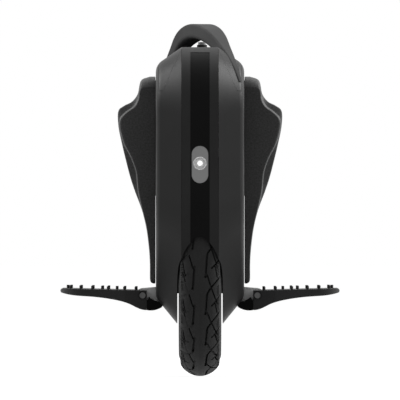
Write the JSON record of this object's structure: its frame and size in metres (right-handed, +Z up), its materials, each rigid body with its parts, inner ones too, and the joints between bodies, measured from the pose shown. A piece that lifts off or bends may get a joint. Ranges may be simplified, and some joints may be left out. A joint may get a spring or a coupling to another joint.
{
  "type": "electric unicycle",
  "caption": "Self-balancing electric unicycle with an enclosed hub-motor wheel, folding studded pedals, side leg pads, a front light strip and an arched diagonal carry handle.",
  "frame": {"origin": "on the ground under the middle of the wheel, at the tyre's contact point", "axes": "+Z up, -Y towards the front with the headlight, +X along the axle towards the right-hand pedal of the picture"},
  "size_m": [0.409, 0.444, 0.5175],
  "materials": {
    "tyre_rubber": "matt black tread rubber",
    "rim_black": "satin black powder coat on cast aluminium",
    "steel": "ground steel",
    "magnet_plating": "nickel plate",
    "black_steel": "black oxide steel",
    "valve_brass": "bright brass",
    "copper": "lacquered wire",
    "cable_sheath": "matt sheath",
    "housing_plastic": "matt moulded plastic",
    "shell_plastic": "fine textured moulded plastic",
    "panel_plastic": "fine textured moulded plastic",
    "strip_gloss": "polished black",
    "lamp_grey": "satin grey reflector",
    "lamp_lens": "clear polycarbonate",
    "lamp_white": "white phosphor",
    "lamp_red": "red tinted plastic",
    "cap_rubber": "soft moulded rubber",
    "handle_plastic": "satin moulded nylon",
    "bare_aluminium": "machined",
    "button_plastic": "satin grey button",
    "pin_steel": "grey phosphated steel",
    "pad_rubber": "fine grained foam skin",
    "hanger_grey": "grey anodised casting",
    "stop_black": "black coated aluminium casting",
    "pedal_black": "black coated aluminium casting",
    "battery_wrap": "blue shrink wrap",
    "board_green": "solder mask",
    "capacitor_sleeve": "black sleeve"
  },
  "bodies": {
    "chassis": {"axle": "steel", "stator_core": "steel", "stator_windings": "copper", "motor_cable": "cable_sheath", "wheel_housing": "housing_plastic", "right_shell": "shell_plastic", "left_shell": "shell_plastic", "shell_screws": "black_steel", "frame_bolts": "black_steel", "top_cover": "shell_plastic", "front_panel": "panel_plastic", "rear_panel": "panel_plastic", "front_strip": "strip_gloss", "rear_strip": "strip_gloss", "headlight_housing": "lamp_grey", "headlight_lens": "lamp_lens", "headlight_led": "lamp_white", "tail_light_lens": "lamp_red", "tail_light_body": "housing_plastic", "charge_port": "housing_plastic", "handle": "handle_plastic", "handle_bolts": "black_steel", "handle_brackets": "bare_aluminium", "power_switch": "housing_plastic", "right_pad": "pad_rubber", "left_pad": "pad_rubber", "right_pad_plate": "housing_plastic", "left_pad_plate": "housing_plastic", "right_hanger": "hanger_grey", "left_hanger": "hanger_grey", "right_stop_block": "stop_black", "left_stop_block": "stop_black", "clamp_bolts": "black_steel", "right_hinge_pin": "pin_steel", "left_hinge_pin": "pin_steel", "right_battery": "battery_wrap", "left_battery": "battery_wrap", "right_battery_board": "board_green", "left_battery_board": "board_green", "heat_sink": "bare_aluminium", "controller_board": "board_green", "capacitors": "capacitor_sleeve", "power_transistors": "capacitor_sleeve"},
    "wheel": {"tyre": "tyre_rubber", "rim": "rim_black", "rotor_ring": "steel", "magnets": "magnet_plating", "left_motor_cover": "rim_black", "right_motor_cover": "rim_black", "motor_cover_screws": "black_steel", "left_bearing": "steel", "right_bearing": "steel", "valve_stem": "valve_brass"},
    "left_pedal_body": {"left_pedal": "pedal_black", "left_pedal_studs": "black_steel"},
    "right_pedal_body": {"right_pedal": "pedal_black", "right_pedal_studs": "black_steel"},
    "button_body": {"power_button": "button_plastic"},
    "port_cap_body": {"charge_port_cap": "cap_rubber"}
  },
  "joints": [
    {"name": "wheel_spin", "type": "hinge", "parent": "chassis", "child": "wheel", "pos_m": [0, 0, 0.203], "axis": [1, 0, 0], "continuous": true},
    {"name": "left_pedal_fold", "type": "hinge", "parent": "chassis", "child": "left_pedal_body", "pos_m": [-0.0841, 0, 0.1193], "axis": [0, 1, 0], "range_deg": [0, 80]},
    {"name": "right_pedal_fold", "type": "hinge", "parent": "chassis", "child": "right_pedal_body", "pos_m": [0.0841, 0, 0.1193], "axis": [0, -1, 0], "range_deg": [0, 80]},
    {"name": "power_button_press", "type": "slide", "parent": "chassis", "child": "button_body", "axis": [0, 0, -1], "range_m": [0, 0.0015], "stiffness_N_per_m": 600, "springref_m": -0.001},
    {"name": "port_cap_hinge", "type": "hinge", "parent": "chassis", "child": "port_cap_body", "pos_m": [0, 0.2204, 0.3523], "axis": [-1, 0, 0], "range_deg": [0, 100]}
  ]
}
